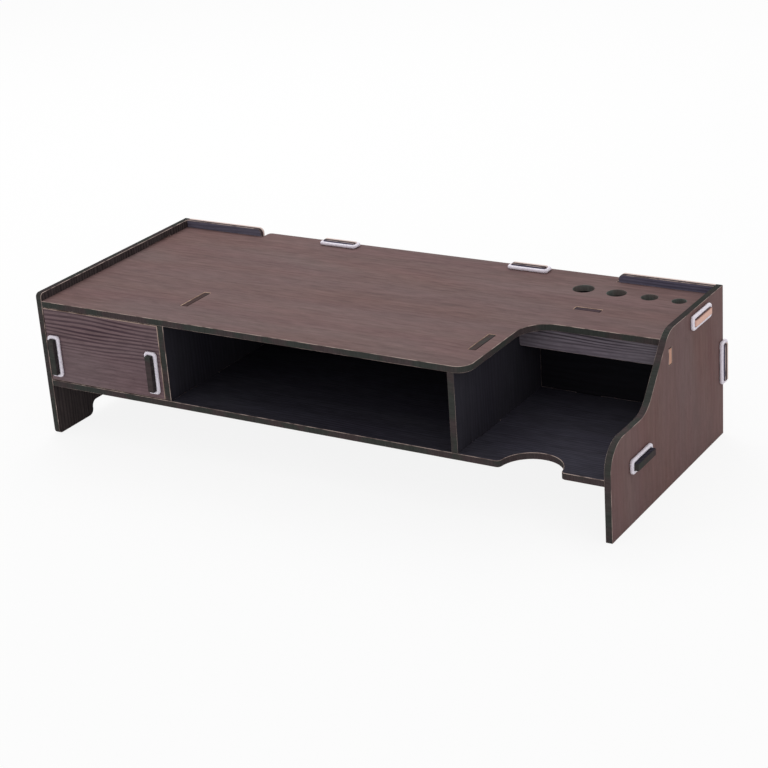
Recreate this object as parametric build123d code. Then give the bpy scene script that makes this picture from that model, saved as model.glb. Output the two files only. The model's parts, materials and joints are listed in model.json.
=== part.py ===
from build123d import *
import os
from math import radians, tan

# A flat-pack monitor stand cut from 5 mm board. Tabs on the edges of one board pass through
# slots in the next. A ringed tab stands out of the far face and is locked there by an elastic
# ring round its notched neck, and a flush tab ends level with that face.
# Lengths are in millimetres. X runs across from the middle, Y is the depth behind the front
# edges of the side panels, and Z is the height above the desk.

BOARD = 5.0
SPAN = 480.0  # over the outer faces of the two side panels
SIDE_DEPTH = 195.0
SIDE_HEIGHT = 117.0  # the ears on the back panel reach this height too
TOP_DEPTH = 200.0
TOP_HEIGHT = 111.0  # upper face of the top board
SHELF_HEIGHT = 46.0  # upper face of the bottom shelf

# Ringed tabs and their elastic rings
RINGED_TAB = 29.0
SHORT_REACH = 4.0
LONG_REACH = 6.0
NECK_CUT = 0.6
HEAD_R = 0.9
SLOT_PLAY = 0.35  # left on each side of a tab by the laser and the fit
RING_WIRE = 2.6
RING_GAP = 0.05
RING_BEND_R = 1.4

# Ringed tabs that hold the side panels and the back panel
TOP_TAB_DEPTH = 151.0
SHELF_TAB_DEPTH = 45.5
BACK_TAB_HEIGHT = 58.5
BACK_TAB_X = 85.0

# Dividers, each DIVIDER_X from the middle, with flush tabs at the top, foot and rear
DIVIDER_X = 122.5
DIVIDER_TAB = 30.0
DIVIDER_TAB_DEPTH = 46.5
SHELF_TENON = 40.0
SHELF_TENON_X = 60.0

# The top board steps back at its right front corner, over a rail and a partition
STEP_X = 135.0
STEP_DEPTH = 95.0
STEP_OUTER_R = 11.0
STEP_INNER_R = 22.0
RAIL_DEPTH = 97.0
RAIL_HEIGHT = 16.0
RAIL_TENON = 12.0
RAIL_TENON_HEIGHT = 97.5
PARTITION_DEPTH = 127.5
PARTITION_TAB = 20.0
PARTITION_TAB_X = 163.5

# Pen holes in the top board, each as its place across and its diameter
PEN_HOLE_DEPTH = 168.0
PEN_HOLES = [(142.0, 16.0), (168.6, 14.5), (194.6, 12.5), (217.6, 10.5)]

# The back panel stands up in an ear at each end, clear of the stepped rear of the top board
BACK_FOOT = 36.0
EAR_X = 160.0
EAR_GAP = 1.5
EAR_R = 4.0
TOP_REAR_R = 3.5

# The front edge of the right panel runs in an S from a low nose up to full height
NOSE_HEIGHT = 70.5
NOSE_R = 21.0
SLOPE_FOOT = 59.2
SLOPE_FOOT_R = 24.0
SLOPE_HEAD = 98.0
SLOPE_HEAD_R = 20.0

# The left panel is cut away below, between a front foot and a rear foot
FRONT_FOOT = 43.0
FOOT_RISE = 11.0
FOOT_R = 5.0
PANEL_CORNER_R = 3.5

# Finger notch in the front edge of the shelf, in the middle of the right bay
NOTCH_R = 23.0
NOTCH_LIP_R = 3.5

DRAWER_GAP = 0.5  # all round the drawer front
DRAWER_DEPTH = 180.0
DRAWER_SIDE_HEIGHT = 42.2
DRAWER_SIDE_INSET = 5.5
DRAWER_FLOOR_RISE = 4.0
DRAWER_FLOOR_TAB = 40.0

inner_x = SPAN / 2 - BOARD
back_depth = SIDE_DEPTH - BOARD
top_underside = TOP_HEIGHT - BOARD
shelf_underside = SHELF_HEIGHT - BOARD
divider_outer = DIVIDER_X + BOARD / 2
notch_x = (divider_outer + inner_x) / 2

drawer_left = -inner_x + DRAWER_GAP
drawer_right = -divider_outer - DRAWER_GAP
drawer_foot = SHELF_HEIGHT + DRAWER_GAP
drawer_rim = drawer_foot + DRAWER_SIDE_HEIGHT
drawer_floor = drawer_foot + DRAWER_FLOOR_RISE
drawer_rear = DRAWER_DEPTH - BOARD
drawer_side_x = {
    "left": drawer_left + DRAWER_SIDE_INSET + BOARD / 2,
    "right": drawer_right - DRAWER_SIDE_INSET - BOARD / 2,
}

SIDES = {"left": -1, "right": 1}
ACROSS, BACK, UP = Vector(1, 0, 0), Vector(0, 1, 0), Vector(0, 0, 1)


def outline(corners):
    """A face inside corners that are each two coordinates and a rounding radius."""
    points = [(u, v) for u, v, radius in corners]
    radii = [radius for u, v, radius in corners]
    return make_face(FilletPolyline(*points, radius=radii, close=True))


def level_board(face, underside):
    return extrude(Pos(0, 0, underside) * face, BOARD, dir=UP)


def cross_board(face, front):
    return extrude(Plane.XZ.offset(-front) * face, BOARD, dir=BACK)


def side_board(face, left):
    return extrude(Plane.YZ.offset(left) * face, BOARD, dir=ACROSS)


def slab(low, high):
    """A rectangular board between its lowest and its highest corner."""
    size = [end - start for start, end in zip(low, high)]
    return Pos(*low) * Box(*size, align=(Align.MIN, Align.MIN, Align.MIN))


def tab_frame(root, outward, along):
    """Origin in the middle of a tab's root, X along the board's edge and Y out of the board."""
    return Plane(origin=root, x_dir=along, z_dir=along.cross(outward))


def tab_block(frame, length, thickness):
    """A block as deep as the board it passes through."""
    return frame * Box(length, BOARD, thickness, align=(Align.CENTER, Align.MIN, Align.CENTER))


def flush_tab(frame, length):
    return tab_block(frame, length, BOARD)


def slot(frame, length=RINGED_TAB):
    return tab_block(frame, length + 2 * SLOT_PLAY, BOARD + 2 * SLOT_PLAY)


def ringed_tab(frame, reach):
    """A tab that stands out by its reach, with a neck for the ring and a rounded head."""
    half = RINGED_TAB / 2
    neck = half - NECK_CUT
    shoulder = BOARD + RING_WIRE
    tip = BOARD + reach
    right = [
        (half, 0, 0),
        (half, BOARD, 0),
        (neck, BOARD, 0),
        (neck, shoulder, 0),
        (half, shoulder, 0),
        (half, tip, HEAD_R),
    ]
    left = [(-u, v, radius) for u, v, radius in reversed(right)]
    return frame * extrude(outline(right + left), BOARD / 2, both=True)


def elastic_ring(frame):
    """A loop of round elastic on the far face of the board, gripping the neck at its corners.

    Each corner turns in two equal mitres, which keeps the repeated rings light.
    """
    clear = 2 * RING_GAP + RING_WIRE
    middle_line = Rectangle(RINGED_TAB - 2 * NECK_CUT + clear, BOARD + clear)
    mitre = RING_BEND_R * (1 - tan(radians(45 / 2)))
    loop = chamfer(middle_line.vertices(), mitre).face().outer_wire()
    section = Plane(loop @ 0, z_dir=loop % 0) * Circle(RING_WIRE / 2)
    band = sweep(section, path=loop, transition=Transition.RIGHT)
    return frame * (Plane.XZ.offset(-BOARD - RING_WIRE / 2) * band)


def top_side_frame(side):
    root = (side * inner_x, TOP_TAB_DEPTH, TOP_HEIGHT - BOARD / 2)
    return tab_frame(root, side * ACROSS, BACK)


def shelf_side_frame(side):
    root = (side * inner_x, SHELF_TAB_DEPTH, SHELF_HEIGHT - BOARD / 2)
    return tab_frame(root, side * ACROSS, BACK)


def back_side_frame(side):
    root = (side * inner_x, back_depth + BOARD / 2, BACK_TAB_HEIGHT)
    return tab_frame(root, side * ACROSS, UP)


def back_top_frame(side):
    return tab_frame((side * BACK_TAB_X, back_depth + BOARD / 2, top_underside), UP, ACROSS)


def divider_top_frame(side):
    return tab_frame((side * DIVIDER_X, DIVIDER_TAB_DEPTH, top_underside), UP, BACK)


def divider_foot_frame(side):
    return tab_frame((side * DIVIDER_X, DIVIDER_TAB_DEPTH, SHELF_HEIGHT), -UP, BACK)


def divider_rear_frame(side):
    middle = (SHELF_HEIGHT + top_underside) / 2
    return tab_frame((side * DIVIDER_X, back_depth, middle), BACK, UP)


def shelf_rear_frame(side):
    root = (side * SHELF_TENON_X, back_depth, SHELF_HEIGHT - BOARD / 2)
    return tab_frame(root, BACK, ACROSS)


def rail_frame(x, outward):
    return tab_frame((x, RAIL_DEPTH + BOARD / 2, RAIL_TENON_HEIGHT), outward, UP)


def partition_frame(height, outward):
    root = (PARTITION_TAB_X, PARTITION_DEPTH + BOARD / 2, height)
    return tab_frame(root, outward, ACROSS)


def drawer_front_frame(hand):
    return tab_frame((drawer_side_x[hand], BOARD, (drawer_foot + drawer_rim) / 2), -BACK, UP)


def drawer_back_frame(hand):
    root = (drawer_side_x[hand], drawer_rear, (drawer_foot + drawer_rim) / 2)
    return tab_frame(root, BACK, UP)


def drawer_floor_side_frame(hand):
    side = SIDES[hand]
    root = (
        drawer_side_x[hand] - side * BOARD / 2,
        drawer_rear / 2,
        drawer_floor + BOARD / 2,
    )
    return tab_frame(root, side * ACROSS, BACK)


def drawer_floor_rear_frame():
    middle = (drawer_left + drawer_right) / 2
    return tab_frame((middle, drawer_rear, drawer_floor + BOARD / 2), BACK, ACROSS)


def top_board():
    ear_clear = EAR_X - EAR_GAP
    plan = outline(
        [
            (-inner_x, 0, 0),
            (STEP_X, 0, STEP_OUTER_R),
            (STEP_X, STEP_DEPTH, STEP_INNER_R),
            (inner_x, STEP_DEPTH, 0),
            (inner_x, back_depth, 0),
            (ear_clear, back_depth, 0),
            (ear_clear, TOP_DEPTH, TOP_REAR_R),
            (-ear_clear, TOP_DEPTH, TOP_REAR_R),
            (-ear_clear, back_depth, 0),
            (-inner_x, back_depth, 0),
        ]
    )
    for x, diameter in PEN_HOLES:
        plan -= Pos(x, PEN_HOLE_DEPTH) * Circle(diameter / 2)
    board = level_board(plan, top_underside)
    for side in SIDES.values():
        board += ringed_tab(top_side_frame(side), SHORT_REACH)
        board -= slot(back_top_frame(side))
        board -= slot(divider_top_frame(side), DIVIDER_TAB)
    return board - slot(partition_frame(top_underside, UP), PARTITION_TAB)


def bottom_shelf():
    plan = Rectangle(2 * inner_x, back_depth, align=(Align.CENTER, Align.MIN))
    plan -= Pos(notch_x, 0) * Circle(NOTCH_R)
    lips = plan.vertices().filter_by(lambda corner: abs(corner.X - notch_x) < 2 * NOTCH_R)
    board = level_board(fillet(lips, NOTCH_LIP_R), shelf_underside)
    for side in SIDES.values():
        board += ringed_tab(shelf_side_frame(side), LONG_REACH)
        board += flush_tab(shelf_rear_frame(side), SHELF_TENON)
        board -= slot(divider_foot_frame(side), DIVIDER_TAB)
    return board - slot(partition_frame(SHELF_HEIGHT, -UP), PARTITION_TAB)


def side_slots(panel, side):
    """Cuts what every side panel takes: the tabs of the top, the shelf and the back."""
    for frame in (top_side_frame(side), shelf_side_frame(side), back_side_frame(side)):
        panel -= slot(frame)
    return panel


def left_side_panel():
    rear_foot = SIDE_DEPTH - FRONT_FOOT
    profile = outline(
        [
            (0, 0, PANEL_CORNER_R),
            (FRONT_FOOT, 0, FOOT_R),
            (FRONT_FOOT, FOOT_RISE, FOOT_R),
            (rear_foot, FOOT_RISE, FOOT_R),
            (rear_foot, 0, FOOT_R),
            (SIDE_DEPTH, 0, 0),
            (SIDE_DEPTH, SIDE_HEIGHT, 0),
            (0, SIDE_HEIGHT, PANEL_CORNER_R),
        ]
    )
    return side_slots(side_board(profile, -SPAN / 2), SIDES["left"])


def right_side_panel():
    profile = outline(
        [
            (0, 0, 0),
            (0, NOSE_HEIGHT, NOSE_R),
            (SLOPE_FOOT, NOSE_HEIGHT, SLOPE_FOOT_R),
            (SLOPE_HEAD, SIDE_HEIGHT, SLOPE_HEAD_R),
            (SIDE_DEPTH, SIDE_HEIGHT, 0),
            (SIDE_DEPTH, 0, 0),
        ]
    )
    panel = side_slots(side_board(profile, inner_x), SIDES["right"])
    return panel - slot(rail_frame(inner_x, ACROSS), RAIL_TENON)


def back_panel():
    profile = outline(
        [
            (-inner_x, BACK_FOOT, 0),
            (inner_x, BACK_FOOT, 0),
            (inner_x, SIDE_HEIGHT, 0),
            (EAR_X, SIDE_HEIGHT, EAR_R),
            (EAR_X, top_underside, 0),
            (-EAR_X, top_underside, 0),
            (-EAR_X, SIDE_HEIGHT, EAR_R),
            (-inner_x, SIDE_HEIGHT, 0),
        ]
    )
    panel = cross_board(profile, back_depth)
    for side in SIDES.values():
        panel += ringed_tab(back_side_frame(side), SHORT_REACH)
        panel += ringed_tab(back_top_frame(side), SHORT_REACH)
        panel -= slot(divider_rear_frame(side), DIVIDER_TAB)
        panel -= slot(shelf_rear_frame(side), SHELF_TENON)
    return panel


def divider(side):
    x = side * DIVIDER_X - BOARD / 2
    board = slab((x, 0, SHELF_HEIGHT), (x + BOARD, back_depth, top_underside))
    for frame in (divider_top_frame, divider_foot_frame, divider_rear_frame):
        board += flush_tab(frame(side), DIVIDER_TAB)
    return board


def pen_rail():
    rail = slab(
        (divider_outer, RAIL_DEPTH, top_underside - RAIL_HEIGHT),
        (inner_x, RAIL_DEPTH + BOARD, top_underside),
    )
    rail += flush_tab(rail_frame(inner_x, ACROSS), RAIL_TENON)
    return rail + flush_tab(rail_frame(divider_outer, -ACROSS), RAIL_TENON)


def pen_partition():
    board = slab(
        (divider_outer, PARTITION_DEPTH, SHELF_HEIGHT),
        (inner_x, PARTITION_DEPTH + BOARD, top_underside),
    )
    board += flush_tab(partition_frame(top_underside, UP), PARTITION_TAB)
    return board + flush_tab(partition_frame(SHELF_HEIGHT, -UP), PARTITION_TAB)


def drawer_front():
    rim = top_underside - DRAWER_GAP
    board = slab((drawer_left, 0, drawer_foot), (drawer_right, BOARD, rim))
    for hand in SIDES:
        board -= slot(drawer_front_frame(hand))
    return board


def drawer_side(hand):
    x = drawer_side_x[hand] - BOARD / 2
    board = slab((x, BOARD, drawer_foot), (x + BOARD, drawer_rear, drawer_rim))
    for frame in (drawer_front_frame(hand), drawer_back_frame(hand)):
        board += ringed_tab(frame, LONG_REACH)
    return board - slot(drawer_floor_side_frame(hand), DRAWER_FLOOR_TAB)


def drawer_back():
    board = slab(
        (drawer_left, drawer_rear, drawer_foot), (drawer_right, DRAWER_DEPTH, drawer_rim)
    )
    for hand in SIDES:
        board -= slot(drawer_back_frame(hand))
    return board - slot(drawer_floor_rear_frame(), DRAWER_FLOOR_TAB)


def drawer_bottom():
    board = slab(
        (drawer_side_x["left"] + BOARD / 2, BOARD, drawer_floor),
        (drawer_side_x["right"] - BOARD / 2, drawer_rear, drawer_floor + BOARD),
    )
    for hand in SIDES:
        board += flush_tab(drawer_floor_side_frame(hand), DRAWER_FLOOR_TAB)
    return board + flush_tab(drawer_floor_rear_frame(), DRAWER_FLOOR_TAB)


parts = {
    "top_board": top_board(),
    "bottom_shelf": bottom_shelf(),
    "left_side_panel": left_side_panel(),
    "right_side_panel": right_side_panel(),
    "back_panel": back_panel(),
    "left_divider": divider(SIDES["left"]),
    "right_divider": divider(SIDES["right"]) - slot(rail_frame(divider_outer, -ACROSS), RAIL_TENON),
    "pen_rail": pen_rail(),
    "pen_partition": pen_partition(),
    "drawer_front": drawer_front(),
    "drawer_left_side": drawer_side("left"),
    "drawer_right_side": drawer_side("right"),
    "drawer_back": drawer_back(),
    "drawer_bottom": drawer_bottom(),
}
for hand, side in SIDES.items():
    parts[f"{hand}_top_ring"] = elastic_ring(top_side_frame(side))
    parts[f"{hand}_shelf_ring"] = elastic_ring(shelf_side_frame(side))
    parts[f"{hand}_back_ring"] = elastic_ring(back_side_frame(side))
    parts[f"rear_{hand}_ring"] = elastic_ring(back_top_frame(side))
    parts[f"drawer_front_{hand}_ring"] = elastic_ring(drawer_front_frame(hand))
    parts[f"drawer_back_{hand}_ring"] = elastic_ring(drawer_back_frame(hand))

# The origin is under the middle of the whole stand, between the drawer's tabs and the rear edge
middle_depth = (TOP_DEPTH - LONG_REACH) / 2
os.makedirs("parts", exist_ok=True)
for name, solid in parts.items():
    export_step(Pos(0, -middle_depth, 0) * solid, f"parts/{name}.step")
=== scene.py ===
import json
import math
import random

import bpy
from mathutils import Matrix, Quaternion, Vector


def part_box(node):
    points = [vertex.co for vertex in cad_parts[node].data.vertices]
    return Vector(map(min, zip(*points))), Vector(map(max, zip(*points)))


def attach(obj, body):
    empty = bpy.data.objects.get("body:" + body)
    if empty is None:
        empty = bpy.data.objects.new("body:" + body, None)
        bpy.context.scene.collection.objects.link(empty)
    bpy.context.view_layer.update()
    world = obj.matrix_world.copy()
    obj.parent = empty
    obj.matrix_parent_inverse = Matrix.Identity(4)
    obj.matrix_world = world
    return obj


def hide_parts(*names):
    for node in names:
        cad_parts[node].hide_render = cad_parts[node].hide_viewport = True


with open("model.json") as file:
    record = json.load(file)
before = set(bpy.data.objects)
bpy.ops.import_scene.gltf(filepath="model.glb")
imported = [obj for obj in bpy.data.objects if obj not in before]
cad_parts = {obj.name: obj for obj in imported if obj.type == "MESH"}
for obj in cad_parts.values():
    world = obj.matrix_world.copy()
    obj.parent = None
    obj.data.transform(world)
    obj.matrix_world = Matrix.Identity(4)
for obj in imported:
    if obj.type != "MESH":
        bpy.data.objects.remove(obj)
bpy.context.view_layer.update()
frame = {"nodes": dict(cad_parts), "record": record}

# Bottom shelf
# A 5 mm MDF board, laser-cut, with a printed dark film on both faces. Its tabs pass through the
# side panels. The laser leaves charred edges and burns the film back in a thin pale line along
# each arris, so every board has four finishes: film, backing film, charred edge and bare arris.

MM = 0.001
X, Y, Z = 0, 1, 2
UP = (0, 0, 1)
COLOUR_A, COLOUR_B, MIXED_COLOUR = 6, 7, 2  # the colour sockets of a Mix node
VECTOR_A, VECTOR_B = 4, 5  # the vector sockets of a Compare node


def linear(hex_colour):
    """An sRGB hex colour as linear red, green and blue, and an alpha of 1."""
    parts = [int(hex_colour[i : i + 2], 16) / 255 for i in (1, 3, 5)]
    return (*[p / 12.92 if p <= 0.04045 else ((p + 0.055) / 1.055) ** 2.4 for p in parts], 1.0)


def add(tree, kind, settings=None, links=None):
    """A new node. A setting is a property by its name or an input by its name or number."""
    node = tree.nodes.new(kind)
    for key, value in (settings or {}).items():
        if isinstance(key, str) and hasattr(node, key):
            setattr(node, key, value)
        else:
            node.inputs[key].default_value = value
    for key, socket in (links or {}).items():
        tree.links.new(socket, node.inputs[key])
    return node


def new_material(name):
    """An empty Principled material, its node tree and its shader."""
    material = bpy.data.materials.new(name)
    material.use_nodes = True
    return material, material.node_tree, material.node_tree.nodes["Principled BSDF"]


DRIFT_LENGTH, DRIFT_WIDTH = 150 * MM, 28 * MM  # of the slow bends in the whole print
PRINT_LAYERS = {  # the length in mm along the grain, the width across it, and the noise's detail
    "patch": (120, 34, 1.0),
    "band": (260, 11, 3.0),
    "crowding": (110, 12, 1.0),
    "fleck": (16, 2.4, 2.0),
    "fibre": (14, 0.8, 3.0),
    "pore": (6, 0.5, 1.0),
}
CROWDED = 13.0  # radians by which the growth lines crowd and part
FAINT = 0.28  # strength of the growth lines below the height where they turn bold
FADE_BELOW, FADE_ABOVE = 9 * MM, 4 * MM  # how far from that height they turn


def woodgrain_film(
    name, along, across, ground, figure, seed, lines=0.5, pitch=5.0, waver=3.0, tone=0.12, bold_from=None
):
    """Melamine paper printed with dark walnut, its grain along one axis and its figure across.

    Melamine has an IOR of 1.5. This paper is embossed matt, so its highlights are weak and
    broad, and the eye sees the print: growth lines in the figure's colour, a pitch apart and
    wavering from straight, both in mm, on a ground whose tone varies by a share, with fibres
    0.8 mm wide. The pores are drawn 0.5 mm wide, twice as coarse as real ones, so that they
    show. The lines are faint below the height bold_from, where one is given. Each seed is
    another stretch of the print.
    """
    material, tree, shader = new_material(name)
    place = add(tree, "ShaderNodeTexCoord")
    axis = add(tree, "ShaderNodeSeparateXYZ", links={0: place.outputs["Object"]})
    plain = add(tree, "ShaderNodeCombineXYZ", {2: seed}, {0: axis.outputs[along], 1: axis.outputs[across]})
    drift_scale = add(
        tree, "ShaderNodeVectorMath",
        {"operation": "MULTIPLY", 1: (1 / DRIFT_LENGTH, 1 / DRIFT_WIDTH, 1)}, {0: plain.outputs[0]},
    )
    drift = add(tree, "ShaderNodeTexNoise", {"Scale": 1.0, "Detail": 2.0}, {0: drift_scale.outputs[0]})
    sway = add(
        tree, "ShaderNodeMapRange", {"To Min": -waver * MM, "To Max": waver * MM}, {0: drift.outputs["Fac"]}
    )
    bent = add(tree, "ShaderNodeMath", {"operation": "ADD"}, {0: axis.outputs[across], 1: sway.outputs[0]})
    grain = add(tree, "ShaderNodeCombineXYZ", {2: seed}, {0: axis.outputs[along], 1: bent.outputs[0]})
    layers = {}
    for layer, (length, width, detail) in PRINT_LAYERS.items():
        scaled = add(
            tree, "ShaderNodeVectorMath",
            {"operation": "MULTIPLY", 1: (1 / (length * MM), 1 / (width * MM), 1)}, {0: grain.outputs[0]},
        )
        layers[layer] = add(
            tree, "ShaderNodeTexNoise", {"Scale": 1.0, "Detail": detail}, {0: scaled.outputs[0]}
        ).outputs["Fac"]
    turns = add(
        tree, "ShaderNodeMath", {"operation": "MULTIPLY", 1: math.tau / (pitch * MM)}, {0: bent.outputs[0]}
    )
    phase = add(
        tree, "ShaderNodeMath", {"operation": "MULTIPLY_ADD", 1: CROWDED},
        {0: layers["crowding"], 2: turns.outputs[0]},
    )
    wave = add(tree, "ShaderNodeMath", {"operation": "SINE"}, {0: phase.outputs[0]})
    line = add(
        tree, "ShaderNodeMapRange",
        {"interpolation_type": "SMOOTHSTEP", "From Min": -0.4, "From Max": 0.7}, {0: wave.outputs[0]},
    )
    depth = add(
        tree, "ShaderNodeMapRange",
        {"From Min": 0.35, "From Max": 0.65, "To Min": lines * 0.4, "To Max": lines}, {0: layers["patch"]},
    )
    lined = add(tree, "ShaderNodeMath", {"operation": "MULTIPLY"}, {0: line.outputs[0], 1: depth.outputs[0]})
    if bold_from is not None:
        bold = add(
            tree, "ShaderNodeMapRange",
            {
                "interpolation_type": "SMOOTHSTEP",
                "From Min": bold_from - FADE_BELOW,
                "From Max": bold_from + FADE_ABOVE,
                "To Min": FAINT,
            },
            {0: bent.outputs[0]},
        )
        lined = add(
            tree, "ShaderNodeMath", {"operation": "MULTIPLY"}, {0: lined.outputs[0], 1: bold.outputs[0]}
        )
    pore = add(
        tree, "ShaderNodeMapRange",
        {"interpolation_type": "SMOOTHSTEP", "From Min": 0.6, "From Max": 0.72, "To Max": 0.4},
        {0: layers["pore"]},
    )
    dark = add(tree, "ShaderNodeMath", {"operation": "MAXIMUM"}, {0: lined.outputs[0], 1: pore.outputs[0]})
    printed = add(
        tree, "ShaderNodeMix",
        {"data_type": "RGBA", COLOUR_A: linear(ground), COLOUR_B: linear(figure)}, {0: dark.outputs[0]},
    )
    fine = add(tree, "ShaderNodeMath", {"operation": "ADD"}, {0: layers["fleck"], 1: layers["fibre"]})
    shade = add(
        tree, "ShaderNodeMath", {"operation": "MULTIPLY_ADD", 1: 0.6},
        {0: layers["band"], 2: fine.outputs[0]},
    )
    value = add(
        tree, "ShaderNodeMapRange",
        {"From Min": 1.0, "From Max": 1.6, "To Min": 1 - tone, "To Max": 1 + tone}, {0: shade.outputs[0]},
    )
    redness = add(
        tree, "ShaderNodeMapRange",
        {"From Min": 0.3, "From Max": 0.7, "To Min": 0.88, "To Max": 1.12}, {0: layers["patch"]},
    )
    warmth = add(
        tree, "ShaderNodeMapRange",
        {"From Min": 0.3, "From Max": 0.7, "To Min": 0.492, "To Max": 0.506}, {0: drift.outputs["Fac"]},
    )
    tinted = add(
        tree, "ShaderNodeHueSaturation",
        links={
            "Color": printed.outputs[MIXED_COLOUR],
            "Value": value.outputs[0],
            "Saturation": redness.outputs[0],
            "Hue": warmth.outputs[0],
        },
    )
    gloss = add(
        tree, "ShaderNodeMapRange",
        {"From Min": 0.3, "From Max": 0.7, "To Min": 0.55, "To Max": 0.7}, {0: layers["fibre"]},
    )
    relief = add(
        tree, "ShaderNodeMath", {"operation": "MULTIPLY_ADD", 1: -0.6},
        {0: pore.outputs[0], 2: layers["fibre"]},
    )
    bump = add(
        tree, "ShaderNodeBump", {"Strength": 0.3, "Distance": 0.05 * MM}, {"Height": relief.outputs[0]}
    )
    shader.inputs["IOR"].default_value = 1.5
    shader.inputs["Specular IOR Level"].default_value = 0.05
    tree.links.new(tinted.outputs[0], shader.inputs["Base Color"])
    tree.links.new(gloss.outputs[0], shader.inputs["Roughness"])
    tree.links.new(bump.outputs[0], shader.inputs["Normal"])
    return material


RIB_WIDTH = 0.9 * MM
RIB_LENGTH = 9 * MM  # more than the board's thickness, so that the ribs cross it
SCORCH_SIZE = 24 * MM  # of the brown patches


def charred_edge(name, thickness, char="#3e403d", brown="#493f40"):
    """Laser-cut MDF edge: matt char, brown in places, ribbed through the thickness by the beam.

    The ribs are 0.3 mm apart on a real cut, and drawn 0.9 mm apart so that they show.
    """
    material, tree, shader = new_material(name)
    place = add(tree, "ShaderNodeTexCoord")
    rib_scale = [1 / RIB_WIDTH] * 3
    rib_scale[thickness] = 1 / RIB_LENGTH
    ribbed = add(
        tree, "ShaderNodeVectorMath", {"operation": "MULTIPLY", 1: rib_scale}, {0: place.outputs["Object"]}
    )
    ribs = add(tree, "ShaderNodeTexNoise", {"Scale": 1.0, "Detail": 2.0}, {0: ribbed.outputs[0]})
    scorch = add(
        tree, "ShaderNodeTexNoise", {"Scale": 1 / SCORCH_SIZE, "Detail": 3.0}, {0: place.outputs["Object"]}
    )
    browned = add(
        tree, "ShaderNodeMapRange",
        {"interpolation_type": "SMOOTHSTEP", "From Min": 0.42, "From Max": 0.6}, {0: scorch.outputs["Fac"]},
    )
    colour = add(
        tree, "ShaderNodeMix",
        {"data_type": "RGBA", COLOUR_A: linear(char), COLOUR_B: linear(brown)},
        {0: browned.outputs[0]},
    )
    sooty = add(
        tree, "ShaderNodeMapRange",
        {"From Min": 0.3, "From Max": 0.7, "To Min": 0.8, "To Max": 1.15}, {0: ribs.outputs["Fac"]},
    )
    ribbed_char = add(
        tree, "ShaderNodeHueSaturation",
        links={"Color": colour.outputs[MIXED_COLOUR], "Value": sooty.outputs[0]},
    )
    matt = add(tree, "ShaderNodeMapRange", {"To Min": 0.65, "To Max": 0.9}, {0: ribs.outputs["Fac"]})
    bump = add(
        tree, "ShaderNodeBump", {"Strength": 0.4, "Distance": 0.1 * MM}, {"Height": ribs.outputs["Fac"]}
    )
    shader.inputs["Specular IOR Level"].default_value = 0.05
    tree.links.new(ribbed_char.outputs[0], shader.inputs["Base Color"])
    tree.links.new(matt.outputs[0], shader.inputs["Roughness"])
    tree.links.new(bump.outputs[0], shader.inputs["Normal"])
    return material


SOOT_SIZE = 9 * MM  # of the sooty stretches


def bare_arris(name, bare, sooty):
    """Raw MDF in the thin line where the film is burned back. It is pale, and sooty in places."""
    material, tree, shader = new_material(name)
    place = add(tree, "ShaderNodeTexCoord")
    soot = add(
        tree, "ShaderNodeTexNoise", {"Scale": 1 / SOOT_SIZE, "Detail": 4.0}, {0: place.outputs["Object"]}
    )
    clean = add(
        tree, "ShaderNodeMapRange",
        {"interpolation_type": "SMOOTHSTEP", "From Min": 0.36, "From Max": 0.6}, {0: soot.outputs["Fac"]},
    )
    colour = add(
        tree, "ShaderNodeMix",
        {"data_type": "RGBA", COLOUR_A: linear(sooty), COLOUR_B: linear(bare)},
        {0: clean.outputs[0]},
    )
    tree.links.new(colour.outputs[MIXED_COLOUR], shader.inputs["Base Color"])
    shader.inputs["Roughness"].default_value = 0.85
    shader.inputs["Specular IOR Level"].default_value = 0.15
    return material


arris = bare_arris("bare_mdf_arris", "#bfaaa2", "#6b5c58")

SAME_PLACE = 0.01 * MM  # corners nearer than this are joined
FLAT_TURN = math.radians(1)  # an edge that turns less is taken out
ARRIS_TURN = math.radians(40)  # an edge that turns more is chamfered
CRISP_TURN = math.radians(30)  # an edge that turns more isn't shaded smooth
FACE_ON, ASLANT = 0.9, 0.3  # the least cosine to the outward way for a film and for a chamfer


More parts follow.
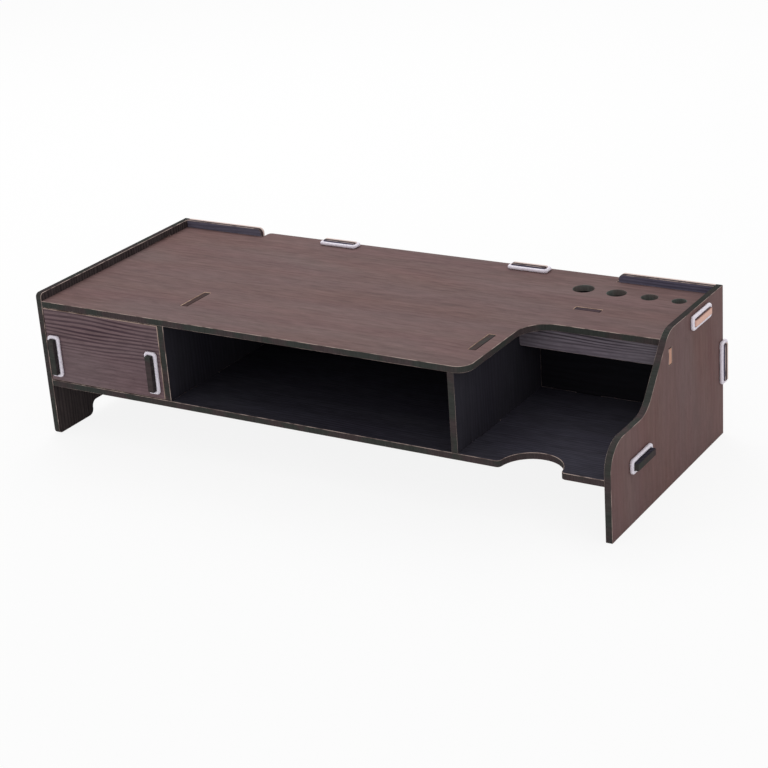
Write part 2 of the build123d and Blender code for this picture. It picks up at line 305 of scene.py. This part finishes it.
def finish_board(name, outward, film, backing, edge, spots=(), rim=arris, burn_back=0.32 * MM):
    """Chamfers the arrises of a board and lays its finishes on by the way each face looks.

    The film is on the face that looks outward, the backing on the other, the edge finish on cut
    edges, and the rim finish on chamfers. A spot is another finish for edges and chamfers inside
    a box, from its lowest corner to its highest, with x counted from the middle to either side.
    """
    board = frame["nodes"][name]
    board.data.materials.clear()
    for finish in dict.fromkeys((film, backing, edge, rim, *[spot[0] for spot in spots])):
        board.data.materials.append(finish)
    facets = board.modifiers.new("join facets", "WELD")
    facets.merge_threshold = SAME_PLACE
    flats = board.modifiers.new("clear flats", "DECIMATE")
    flats.decimate_type = "DISSOLVE"
    flats.angle_limit = FLAT_TURN
    chamfer = board.modifiers.new("burned arris", "BEVEL")
    chamfer.width = burn_back
    chamfer.segments = 1
    chamfer.limit_method = "ANGLE"
    chamfer.angle_limit = ARRIS_TURN
    chamfer.loop_slide = False
    meeting = board.modifiers.new("join chamfers", "WELD")  # they meet on the narrow sides of a neck
    meeting.merge_threshold = SAME_PLACE
    tree = bpy.data.node_groups.new(name + "_finishes", "GeometryNodeTree")
    for way in ("INPUT", "OUTPUT"):
        tree.interface.new_socket("Geometry", in_out=way, socket_type="NodeSocketGeometry")
    bare_board = add(tree, "NodeGroupInput")
    normal = add(tree, "GeometryNodeInputNormal")
    facing = add(
        tree, "ShaderNodeVectorMath", {"operation": "DOT_PRODUCT", 1: outward}, {0: normal.outputs[0]}
    ).outputs["Value"]
    slope = add(tree, "ShaderNodeMath", {"operation": "ABSOLUTE"}, {0: facing}).outputs[0]
    position = add(tree, "GeometryNodeInputPosition")
    where = add(tree, "ShaderNodeSeparateXYZ", links={0: position.outputs[0]})
    reach = add(tree, "ShaderNodeMath", {"operation": "ABSOLUTE"}, {0: where.outputs[X]})
    place = add(
        tree, "ShaderNodeCombineXYZ", links={X: reach.outputs[0], Y: where.outputs[Y], Z: where.outputs[Z]}
    ).outputs[0]
    coats = []
    for finish, measure, test, limit in (
        (rim, slope, "GREATER_THAN", ASLANT),
        (film, facing, "GREATER_THAN", FACE_ON),
        (backing, facing, "LESS_THAN", -FACE_ON),
    ):
        chosen = add(tree, "FunctionNodeCompare", {"operation": test, 1: limit}, {0: measure})
        coats.append((finish, chosen.outputs[0]))
    compared = {"data_type": "VECTOR", "mode": "ELEMENT"}
    for finish, low, high in spots:
        above = add(
            tree, "FunctionNodeCompare", {**compared, "operation": "GREATER_THAN", VECTOR_B: low},
            {VECTOR_A: place},
        )
        below = add(
            tree, "FunctionNodeCompare", {**compared, "operation": "LESS_THAN", VECTOR_B: high},
            {VECTOR_A: place},
        )
        inside = add(tree, "FunctionNodeBooleanMath", links={0: above.outputs[0], 1: below.outputs[0]})
        coats.insert(-2, (finish, inside.outputs[0]))  # over the rim, and under both films
    shape = add(
        tree, "GeometryNodeSetMaterial", {"Material": edge}, {"Geometry": bare_board.outputs[0]}
    ).outputs[0]
    for finish, chosen in coats:
        shape = add(
            tree, "GeometryNodeSetMaterial", {"Material": finish}, {"Geometry": shape, "Selection": chosen}
        ).outputs[0]
    # the normals that came with the board don't fit its chamfers
    freed = add(tree, "GeometryNodeRemoveAttribute", {"Name": "custom_normal"}, {"Geometry": shape})
    smooth = add(
        tree, "GeometryNodeSetShadeSmooth", {"Shade Smooth": True}, {"Geometry": freed.outputs[0]}
    )
    bend = add(tree, "GeometryNodeInputMeshEdgeAngle")
    crisp = add(
        tree, "FunctionNodeCompare", {"operation": "GREATER_THAN", 1: CRISP_TURN}, {0: bend.outputs[0]}
    )
    faceted = add(
        tree, "GeometryNodeSetShadeSmooth", {"domain": "EDGE", "Shade Smooth": False},
        {"Geometry": smooth.outputs[0], "Selection": crisp.outputs[0]},
    )
    add(tree, "NodeGroupOutput", links={0: faceted.outputs[0]})
    board.modifiers.new("finishes", "NODES").node_group = tree


FAR = 1.0  # past every board


def past(finish, x=-FAR, z=-FAR):
    """A spot of another finish on all that is further out than x and higher than z."""
    return finish, (x, -FAR, z), (FAR, FAR, FAR)


panel_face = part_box("right_side_panel")[1][X]  # the tabs stand out of it, or end flush with it
SHELF_TAB_HEAD = panel_face + 0.3 * MM  # past it the arrises are charred too

char_z = charred_edge("charred_edge_across_z", Z)
shelf_film = woodgrain_film(
    "black_walnut_film_on_shelf", X, Y, "#3b3943", "#242229", 3.1, lines=0.6, pitch=2.6, tone=0.28
)
finish_board("bottom_shelf", UP, shelf_film, shelf_film, char_z, [past(char_z, x=SHELF_TAB_HEAD)])

# Dividers
# Two upright MDF walls that stand on the shelf, dark film on both faces. Their flush tabs fill
# slots in the shelf, the top and the back, and show as charred ends. The grain stands upright.

RIGHT = (1, 0, 0)
FLUSH_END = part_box("top_board")[1][Z] - 0.3 * MM  # the flush tab ends reach past it

char_x = charred_edge("charred_edge_across_x", X)
divider_film = woodgrain_film("black_walnut_film_on_dividers", Z, Y, "#34323a", "#27262b", 7.7, pitch=4.0)
brown_char_x = charred_edge("brown_charred_divider_tabs", X, "#42403e", "#4b3a39")
for divider in ("left_divider", "right_divider"):
    finish_board(divider, RIGHT, divider_film, divider_film, char_x, [past(brown_char_x, z=FLUSH_END)])

# Pen partition and pen rail
# The partition closes the pen box behind the right bay. The rail is a narrow apron under the
# recessed front of the top. Its right tenon was sawn after cutting, so the end is bare tan MDF.

FRONT = (0, -1, 0)
TENON_END = panel_face - 0.1 * MM  # the sawn end reaches past it
RAIL_FIGURE_FROM = 100 * MM  # the height at which the rail's growth lines turn bold
FELT_SIZE = 0.9 * MM
RAGGED = 1.2 * MM  # how far the scorch creeps in between the fibres
SCORCH_EDGE = 1 * MM  # over this much the clean part turns to scorched


def bare_mdf(name, thickness, middle, clean, scorched, clean_half=2.3 * MM):
    """Sawn or broken MDF: fine felted fibre, clean for clean_half each side of its middle.

    Past that it is scorched, in a ragged rim. The fibres lie in tufts of about 0.3 mm on a real
    cut, and are drawn 0.9 mm wide so that they show.
    """
    material, tree, shader = new_material(name)
    place = add(tree, "ShaderNodeTexCoord")
    axis = add(tree, "ShaderNodeSeparateXYZ", links={0: place.outputs["Object"]})
    felt = add(
        tree, "ShaderNodeTexNoise", {"Scale": 1 / FELT_SIZE, "Detail": 3.0}, {0: place.outputs["Object"]}
    )
    off = add(tree, "ShaderNodeMath", {"operation": "SUBTRACT", 1: middle}, {0: axis.outputs[thickness]})
    rim = add(tree, "ShaderNodeMath", {"operation": "ABSOLUTE"}, {0: off.outputs[0]})
    ragged = add(
        tree, "ShaderNodeMath", {"operation": "MULTIPLY_ADD", 1: RAGGED},
        {0: felt.outputs["Fac"], 2: rim.outputs[0]},
    )
    scorch = add(
        tree, "ShaderNodeMapRange",
        {"interpolation_type": "SMOOTHSTEP", "From Min": clean_half, "From Max": clean_half + SCORCH_EDGE},
        {0: ragged.outputs[0]},
    )
    colour = add(
        tree, "ShaderNodeMix",
        {"data_type": "RGBA", COLOUR_A: linear(clean), COLOUR_B: linear(scorched)},
        {0: scorch.outputs[0]},
    )
    speckle = add(
        tree, "ShaderNodeMapRange",
        {"From Min": 0.3, "From Max": 0.7, "To Min": 0.9, "To Max": 1.08}, {0: felt.outputs["Fac"]},
    )
    fibred = add(
        tree, "ShaderNodeHueSaturation",
        links={"Color": colour.outputs[MIXED_COLOUR], "Value": speckle.outputs[0]},
    )
    bump = add(
        tree, "ShaderNodeBump", {"Strength": 0.4, "Distance": 0.08 * MM}, {"Height": felt.outputs["Fac"]}
    )
    tree.links.new(fibred.outputs[0], shader.inputs["Base Color"])
    tree.links.new(bump.outputs[0], shader.inputs["Normal"])
    shader.inputs["Roughness"].default_value = 0.85
    shader.inputs["Specular IOR Level"].default_value = 0.2
    return material


def middle_of(name, thickness):
    """Half way through a board."""
    low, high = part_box(name)
    return (low[thickness] + high[thickness]) / 2


char_y = charred_edge("charred_edge_across_y", Y)
# The partition's film is drawn darker than the other dark films: painted shade for the deep pen box behind
# the rail.
shaded_partition_film = woodgrain_film("black_walnut_film_with_painted_shade_on_partition", X, Z, "#1b1a1f", "#131216", 11.3)
brown_char_y = charred_edge("brown_charred_partition_tabs", Y, "#423940", "#4a3b40")
finish_board(
    "pen_partition", FRONT, shaded_partition_film, shaded_partition_film, char_y, [past(brown_char_y, z=FLUSH_END)]
)

# The rail's walnut is drawn greyer and bluer than on the other boards: painted shade, the colour that walnut
# takes in the shade under the top. Its growth lines are print.
rail_film_in_painted_shade = woodgrain_film(
    "walnut_film_with_painted_shade_on_rail", X, Z, "#7c737c", "#2f282f", 5.9,
    lines=1.0, pitch=2.4, waver=2.4, tone=0.18, bold_from=RAIL_FIGURE_FROM,
)
tenon_mdf = bare_mdf("bare_mdf_tenon_end", Y, middle_of("pen_rail", Y), "#c99a86", "#8a6354")
finish_board("pen_rail", FRONT, rail_film_in_painted_shade, shaded_partition_film, char_y, [past(tenon_mdf, x=TENON_END)])

# Back panel
# The rear wall, with walnut film behind and dark film in front. It was cut from paler stock, so
# its ears and tabs show pinkish bare edges, scorched along the front. The grain lies level.

BACK = (0, 1, 0)
CLEAN_BEHIND = 1.8 * MM  # how far behind the board's middle the clean part of its edge is centred
CLEAN_HALF = 1.6 * MM  # half the width of that part

back_walnut = woodgrain_film("walnut_film_on_back_panel", X, Z, "#745d5b", "#543f3f", 17.2, lines=0.2)
back_dark = woodgrain_film("black_walnut_film_on_back_panel", X, Z, "#6b6778", "#383643", 19.4, pitch=2.6)
clean_middle = middle_of("back_panel", Y) + CLEAN_BEHIND
back_edge = bare_mdf("bare_mdf_back_edge", Y, clean_middle, "#e0cac2", "#3a2e32", CLEAN_HALF)
finish_board("back_panel", BACK, back_walnut, back_dark, back_edge)

# Top board
# The platform, walnut film above and dark film below, with the grain along its length. The ends
# of its two side tabs and the rims of its slots are bare MDF. The walls of the pen holes are drawn
# paler than charred edges: painted light, as the walls sit in the shade of the holes.

TOP_TAB_HEAD = panel_face + 0.2 * MM  # past it the edges are bare MDF
PEN_HOLES = (130 * MM, 61 * MM, -FAR), (228 * MM, 81 * MM, FAR)  # lowest and highest corner round them
DIVIDER_SLOTS = (119 * MM, -67 * MM, -FAR), (126 * MM, -34 * MM, FAR)
PARTITION_SLOT = (152 * MM, 29 * MM, -FAR), (175 * MM, 37 * MM, FAR)

top_walnut = woodgrain_film("walnut_film_on_top", X, Y, "#745d5b", "#564244", 23.6, lines=0.18, tone=0.2)
under_dark = woodgrain_film("black_walnut_film_under_top", X, Y, "#2f2d35", "#212026", 29.8)
top_tab_mdf = bare_mdf("bare_mdf_top_tab_end", Z, middle_of("top_board", Z), "#eabfb0", "#ab7c6d")
# paler char on the pen hole walls: painted light on walls that sit in shade
pen_hole_char_with_painted_light = charred_edge("pen_hole_wall_with_painted_light", Z, "#6b716d", "#6c6562")
slot_rim = bare_arris("bare_mdf_slot_rim", "#d9b9a2", "#9c7f6e")
finish_board(
    "top_board", UP, top_walnut, under_dark, char_z,
    [
        past(top_tab_mdf, x=TOP_TAB_HEAD),
        (pen_hole_char_with_painted_light, *PEN_HOLES),
        (slot_rim, *DIVIDER_SLOTS),
        (slot_rim, *PARTITION_SLOT),
    ],
)

# Side panels
# Full-height ends with upright grain, walnut film outside and dark film inside. They go on last
# over the tabs of the shelf, the top and the back. Their upper edges are drawn darker than the
# other cut edges, as painted shade against the lamp above.

LEFT = (-1, 0, 0)
PANEL_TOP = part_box("right_side_panel")[1][Z] - 0.05 * MM  # its chamfers are lower, and stay pale

side_walnut = woodgrain_film(
    "walnut_film_on_side_panels", Z, Y, "#755d5b", "#553f40", 31.5, lines=0.14, pitch=6.5, tone=0.1
)
side_dark = woodgrain_film(
    "black_walnut_film_inside_panels", Z, Y, "#483f3f", "#211d20", 37.1, lines=0.7, pitch=3.2, tone=0.3
)
# darker char on the upward edges of the panels: painted shade against the lamp above
upper_edge_char_with_painted_shade = charred_edge("edge_with_painted_shade_on_side_panels", X, "#30322f", "#393233")
for panel, outward in (("left_side_panel", LEFT), ("right_side_panel", RIGHT)):
    finish_board(panel, outward, side_walnut, side_dark, char_x, [past(upper_edge_char_with_painted_shade, z=PANEL_TOP)])

# Drawer
# An open box of five boards held by ringed tabs. The front has the boldest figure of the set,
# with dark growth lines across its upper half. The other boards are dark inside and out.

FIGURE_FROM = 76 * MM  # the height at which the growth lines turn bold
DRAWER_TAB_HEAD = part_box("drawer_front")[0][Y] - 0.3 * MM  # the tab heads stand in front of it
DRAWER_BURN_BACK = 0.42 * MM

front_walnut = woodgrain_film(
    "walnut_film_on_drawer_front", X, Z, "#796568", "#3a2b35", 41.9,
    lines=0.94, pitch=3.1, waver=2.0, tone=0.16, bold_from=FIGURE_FROM,
)
front_arris = bare_arris("bare_mdf_drawer_arris", "#c4aca0", "#8a7469")
side_tab_heads = (char_x, (-FAR, -FAR, -FAR), (FAR, DRAWER_TAB_HEAD, FAR))
box_dark = woodgrain_film("black_walnut_film_on_drawer_box", Y, Z, "#3f383a", "#282426", 43.3)
floor_dark = woodgrain_film("black_walnut_film_on_drawer_floor", Y, X, "#3f383a", "#282426", 47.0)
back_of_box = woodgrain_film("black_walnut_film_on_drawer_back", X, Z, "#3f383a", "#282426", 53.2)
finish_board("drawer_bottom", UP, floor_dark, floor_dark, char_z)
for side in ("drawer_left_side", "drawer_right_side"):
    finish_board(side, RIGHT, box_dark, box_dark, char_x, [side_tab_heads])
finish_board("drawer_back", BACK, back_of_box, back_of_box, char_y)
finish_board(
    "drawer_front", FRONT, front_walnut, back_of_box, char_y, rim=front_arris, burn_back=DRAWER_BURN_BACK
)

# Locking rings
# White silicone O-rings, moulded round and stretched over the notched necks of the tabs. They
# bend tightly at the four corners of the neck and thin a little along its sides.

BULGE = 0.2 * MM  # how much the cord swells out past the neck, in radius
RING_BEND = 1.65 * MM  # radius of the cord's middle line at a corner of the neck
BEND_STEPS, RUN_STEPS, ROUND_STEPS = 8, 12, 24
STRETCH_THIN = 0.05  # share of the radius lost half way along a run
HAND_SET = 0.035 * MM  # the most that a run wanders from straight
DUST_SIZE = 1.6 * MM  # of the dusty patches


def silicone(name):
    """Moulded silicone rubber: IOR 1.41, a soft satin skin, faintly translucent and dusty."""
    material, tree, shader = new_material(name)
    place = add(tree, "ShaderNodeTexCoord")
    dust = add(
        tree, "ShaderNodeTexNoise", {"Scale": 1 / DUST_SIZE, "Detail": 3.0}, {0: place.outputs["Object"]}
    )
    grime = add(
        tree, "ShaderNodeMapRange",
        {"interpolation_type": "SMOOTHSTEP", "From Min": 0.5, "From Max": 0.72}, {0: dust.outputs["Fac"]},
    )
    colour = add(
        tree, "ShaderNodeMix",
        {"data_type": "RGBA", COLOUR_A: linear("#faf3ff"), COLOUR_B: linear("#e6dcec")},
        {0: grime.outputs[0]},
    )
    skin = add(tree, "ShaderNodeMapRange", {"To Min": 0.3, "To Max": 0.45}, {0: dust.outputs["Fac"]})
    bump = add(
        tree, "ShaderNodeBump", {"Strength": 0.1, "Distance": 0.02 * MM}, {"Height": dust.outputs["Fac"]}
    )
    tree.links.new(colour.outputs[MIXED_COLOUR], shader.inputs["Base Color"])
    tree.links.new(skin.outputs[0], shader.inputs["Roughness"])
    tree.links.new(bump.outputs[0], shader.inputs["Normal"])
    shader.inputs["IOR"].default_value = 1.41
    shader.inputs["Subsurface Weight"].default_value = 0.15
    shader.inputs["Subsurface Radius"].default_value = (1.0, 1.0, 1.0)
    shader.inputs["Subsurface Scale"].default_value = 0.4 * MM
    return material


def bend_point(centre, turns):
    """The place on a bend of the cord that is so many quarter turns from its start."""
    angle = math.radians(90) * turns
    return centre + RING_BEND * Vector((math.cos(angle), math.sin(angle)))


def ring_line(half_long, half_short):
    """Points round the rounded rectangle of a stretched ring, each with how far along a run it is."""
    centres = [
        Vector((a * (half_long - RING_BEND), b * (half_short - RING_BEND)))
        for a, b in ((1, 1), (-1, 1), (-1, -1), (1, -1))
    ]
    points = []
    for turn, centre in enumerate(centres):
        for step in range(BEND_STEPS):
            points.append((bend_point(centre, turn + step / BEND_STEPS), 0.0))
        start = bend_point(centre, turn + 1)
        end = bend_point(centres[(turn + 1) % 4], turn + 1)
        for step in range(RUN_STEPS):
            share = step / RUN_STEPS
            points.append((start.lerp(end, share), share))
    return points


def stretched_ring(node, material):
    """A silicone ring in the place of a CAD ring, its section thinning along each run."""
    low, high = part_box(node)
    size, centre = high - low, (low + high) / 2
    thin, short, long = sorted(range(3), key=lambda axis: size[axis])
    radius = size[thin] / 2 + BULGE
    centre[thin] += math.copysign(BULGE, centre[thin])
    rng = random.Random(node)
    sway = [rng.uniform(-HAND_SET, HAND_SET) for _ in range(4)]
    verts = []
    line = ring_line(size[long] / 2 - radius + 2 * BULGE, size[short] / 2 - radius + 2 * BULGE)
    count = len(line)
    for i, (point, share) in enumerate(line):
        ahead, behind = line[(i + 1) % count][0], line[i - 1][0]
        forward = (ahead - behind).normalized()
        outward = Vector((forward.y, -forward.x))
        bulge = math.sin(math.pi * share)
        section = radius * (1 - STRETCH_THIN * bulge)
        run = i * 4 // count
        for k in range(ROUND_STEPS):
            angle = math.tau * k / ROUND_STEPS
            flat = point + outward * (section * math.cos(angle))
            vert = Vector((0, 0, 0))
            vert[long], vert[short] = flat.x, flat.y
            vert[thin] = section * math.sin(angle) + sway[run] * bulge
            verts.append(centre + vert)
    faces = [
        (
            i * ROUND_STEPS + k,
            i * ROUND_STEPS + (k + 1) % ROUND_STEPS,
            (i + 1) % count * ROUND_STEPS + (k + 1) % ROUND_STEPS,
            (i + 1) % count * ROUND_STEPS + k,
        )
        for i in range(count)
        for k in range(ROUND_STEPS)
    ]
    if short == (long + 1) % 3:  # with such axes these faces look inwards
        faces = [face[::-1] for face in faces]
    name = node.replace("_ring", "_silicone_ring")
    mesh = bpy.data.meshes.new(name)
    mesh.from_pydata(verts, [], faces)
    mesh.materials.append(material)
    mesh.shade_smooth()
    ring = bpy.data.objects.new(name, mesh)
    bpy.context.scene.collection.objects.link(ring)
    return ring


white_silicone = silicone("white_silicone_ring")
for body, nodes in frame["record"]["behaviour"]["bodies"].items():
    for node in sorted(n for n in nodes if n.endswith("_ring")):
        ring = stretched_ring(node, white_silicone)
        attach(ring, body)
        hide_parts(node)

# Studio
# A white sweep under one large soft lamp, high behind the stand on its left, with the room as
# fill. The camera stands at the right front and looks down on the stand.

SWEEP_HALF = 6.0  # metres from the middle to an edge
SWEEP_GLOW = 0.88  # share of plain white that the camera sees over the sweep's own light
SWEEP_WHITE = "#f8f8f8"
ROOM_LIGHT = 0.7  # as a share of plain white
LAMP_PLACE = Vector((-0.7, 0.75, 1.35))
LAMP_SIZE = 1.0  # metres each way
LAMP_WATTS = 8.5


def seen_as_white(tree):
    """1 for the rays by which the camera, gloss and glass see a surface, and 0 for light."""
    ray = add(tree, "ShaderNodeLightPath")
    seen = add(
        tree, "ShaderNodeMath", {"operation": "ADD", "use_clamp": True},
        {0: ray.outputs["Is Camera Ray"], 1: ray.outputs["Is Glossy Ray"]},
    )
    return add(
        tree, "ShaderNodeMath", {"operation": "ADD", "use_clamp": True},
        {0: seen.outputs[0], 1: ray.outputs["Is Transmission Ray"]},
    ).outputs[0]


sweep_corners = [(x * SWEEP_HALF, y * SWEEP_HALF, 0) for x, y in ((-1, -1), (1, -1), (1, 1), (-1, 1))]
sweep_mesh = bpy.data.meshes.new("sweep")
sweep_mesh.from_pydata(sweep_corners, [], [(0, 1, 2, 3)])
sweep = bpy.data.objects.new("sweep", sweep_mesh)
bpy.context.scene.collection.objects.link(sweep)
sweep_paper, tree, shader = new_material("white_sweep_paper")
tree.nodes.remove(shader)
paper = add(tree, "ShaderNodeBsdfDiffuse", {"Color": linear(SWEEP_WHITE)})
glow = add(tree, "ShaderNodeEmission", {"Strength": 1.0})
share = add(tree, "ShaderNodeMath", {"operation": "MULTIPLY", 1: SWEEP_GLOW}, {0: seen_as_white(tree)})
blend = add(
    tree, "ShaderNodeMixShader", links={0: share.outputs[0], 1: paper.outputs[0], 2: glow.outputs[0]}
)
tree.links.new(blend.outputs[0], tree.nodes["Material Output"].inputs["Surface"])
sweep_mesh.materials.append(sweep_paper)

world = bpy.data.worlds.new("room")
bpy.context.scene.world = world
world.use_nodes = True
room = world.node_tree.nodes["Background"]
room.inputs["Color"].default_value = linear("#ffffff")
level = add(
    world.node_tree, "ShaderNodeMapRange", {"To Min": ROOM_LIGHT, "To Max": 1.0},
    {0: seen_as_white(world.node_tree)},
)
world.node_tree.links.new(level.outputs[0], room.inputs["Strength"])

lamp = bpy.data.lights.new("soft lamp", "AREA")
lamp.size = LAMP_SIZE
lamp.energy = LAMP_WATTS
lamp_stand = bpy.data.objects.new("soft lamp", lamp)
lamp_stand.location = LAMP_PLACE
lamp_stand.rotation_euler = (-LAMP_PLACE).to_track_quat("-Z", "Y").to_euler()
bpy.context.scene.collection.objects.link(lamp_stand)

SENSOR, PICTURE = 36.0, 768  # width of the sensor in mm, and of the picture in pixels
FOCAL_PIXELS = 1979.3  # the focal length, in the picture's pixels
AZIMUTH, ELEVATION, ROLL = (math.radians(angle) for angle in (32.474, 22.441, -4.214))
CAMERA_PLACE = (0.74885, -1.16493, 0.61220)

camera = bpy.data.cameras.new("camera")
camera.sensor_width = SENSOR
camera.lens = SENSOR * FOCAL_PIXELS / PICTURE
eye = bpy.data.objects.new("camera", camera)
bpy.context.scene.collection.objects.link(eye)
towards_eye = Vector(
    (
        math.sin(AZIMUTH) * math.cos(ELEVATION),
        -math.cos(AZIMUTH) * math.cos(ELEVATION),
        math.sin(ELEVATION),
    )
)
eye.location = CAMERA_PLACE
eye.rotation_mode = "QUATERNION"
eye.rotation_quaternion = (-towards_eye).to_track_quat("-Z", "Y") @ Quaternion((0, 0, 1), ROLL)
bpy.context.scene.camera = eye
bpy.context.scene.view_settings.view_transform = "Standard"
